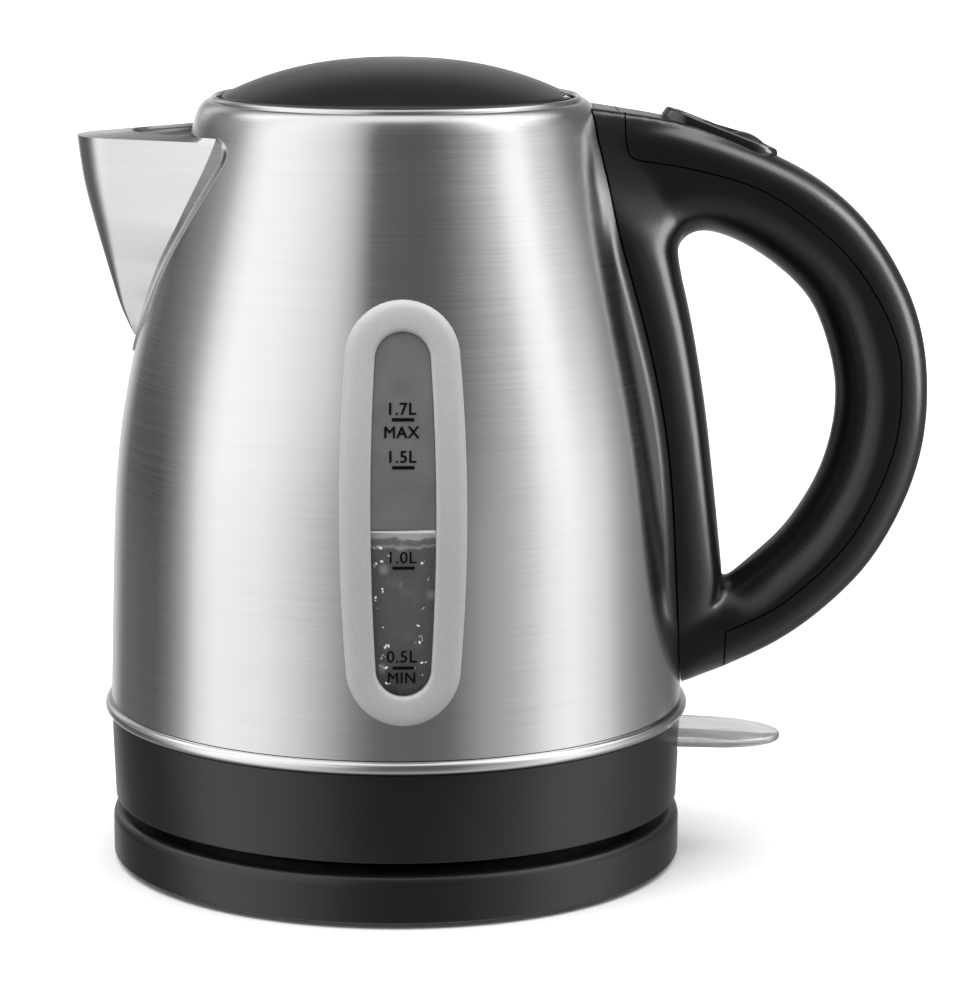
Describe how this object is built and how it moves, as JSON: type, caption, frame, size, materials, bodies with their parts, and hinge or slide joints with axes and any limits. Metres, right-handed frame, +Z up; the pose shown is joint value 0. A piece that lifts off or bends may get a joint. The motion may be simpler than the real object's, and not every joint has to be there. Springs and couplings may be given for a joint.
{
  "type": "electric kettle",
  "caption": "Cordless electric kettle: brushed steel jug with V spout, hinged lid, D handle, water window and switch lever, on a round black power base.",
  "frame": {"origin": "on the jug's vertical axis, at the worktop that the power base stands on", "axes": "+Z up, +X from the jug's axis to the handle, -X to the spout, -Y to the water window"},
  "size_m": [0.2349, 0.1634, 0.2231],
  "materials": {
    "brushed_steel": "stainless sheet, brushed round the jug",
    "bright_steel": "bright rolled steel",
    "brass": "plain contact metal",
    "element_aluminium": "plain",
    "black_plastic": "fine-grained satin black",
    "gloss_black": "polished black",
    "grey_plastic": "plain moulded",
    "milky_plastic": "milky, faintly see-through",
    "clear_plastic": "clear moulded plastic",
    "silicone": "soft translucent silicone",
    "rubber": "dull black"
  },
  "bodies": {
    "power_base": {"base_cover": "black_plastic", "base_plate": "black_plastic", "foot_1": "rubber", "foot_2": "rubber", "foot_3": "rubber", "foot_4": "rubber", "base_screw_1": "bright_steel", "base_screw_2": "bright_steel", "cord_inlet": "black_plastic", "connector_post": "black_plastic", "line_contact": "brass", "neutral_contact": "brass", "earth_contact": "brass"},
    "swivel": {"turning_collar": "grey_plastic"},
    "jug": {"jug_shell": "brushed_steel", "trim_ring": "bright_steel", "spout": "brushed_steel", "filter_frame": "grey_plastic", "filter_mesh": "bright_steel", "window_lens": "clear_plastic", "window_frame": "milky_plastic", "window_seal": "silicone", "window_clamp": "grey_plastic", "heating_plate": "bright_steel", "plate_seal": "silicone", "heating_element": "element_aluminium", "element_terminal_1": "bright_steel", "element_terminal_2": "bright_steel", "steam_tube": "grey_plastic", "control_body": "black_plastic", "connector_socket": "black_plastic", "line_pin": "brass", "neutral_ring": "brass", "earth_ring": "brass", "skirt": "black_plastic", "skirt_bottom": "black_plastic", "bottom_screw_1": "bright_steel", "bottom_screw_2": "bright_steel", "switch_frame": "grey_plastic", "bimetal_disc": "brass", "indicator_lamp": "clear_plastic", "lever_pin": "bright_steel", "handle_frame": "black_plastic", "handle_cover": "black_plastic", "button_bezel": "gloss_black", "handle_bracket_upper": "bright_steel", "handle_bracket_lower": "bright_steel", "handle_screw_upper": "bright_steel", "handle_screw_lower": "bright_steel", "hinge_bracket": "black_plastic", "hinge_pin": "bright_steel", "button_spring": "bright_steel"},
    "lid": {"lid_cover": "black_plastic", "lid_plate": "brushed_steel", "lid_screw": "bright_steel", "hinge_arm": "black_plastic", "lid_spring": "bright_steel"},
    "button": {"lid_button": "black_plastic"},
    "latch": {"lid_latch": "grey_plastic"},
    "lever": {"switch_lever": "clear_plastic"}
  },
  "joints": [
    {"name": "jug_turn", "type": "hinge", "parent": "power_base", "child": "swivel", "pos_m": [0, 0, 0.018], "axis": [0, 0, 1], "continuous": true},
    {"name": "jug_lift", "type": "slide", "parent": "swivel", "child": "jug", "axis": [0, 0, 1], "range_m": [0, 0.12]},
    {"name": "lid_hinge", "type": "hinge", "parent": "jug", "child": "lid", "pos_m": [0.0466, 0, 0.2106], "axis": [0, 1, 0], "range_deg": [0, 80]},
    {"name": "lid_button_rock", "type": "hinge", "parent": "jug", "child": "button", "pos_m": [0.07714, 0, 0.20636], "axis": [0, 1, 0], "range_deg": [0, 4], "stiffness_Nm_per_rad": 0.3, "springref_deg": -2.86, "deforming": ["button_spring"]},
    {"name": "latch_slide", "type": "slide", "parent": "jug", "child": "latch", "axis": [0.9432, 0, -0.3322], "range_m": [0, 0.0026]},
    {"name": "switch_lever_rock", "type": "hinge", "parent": "jug", "child": "lever", "pos_m": [0.068, 0, 0.0339], "axis": [0, 1, 0], "range_deg": [0, 8]}
  ],
  "couplings": [
    {"joint": "latch_slide", "follows": "lid_button_rock", "m_per_rad": 0.0358}
  ]
}
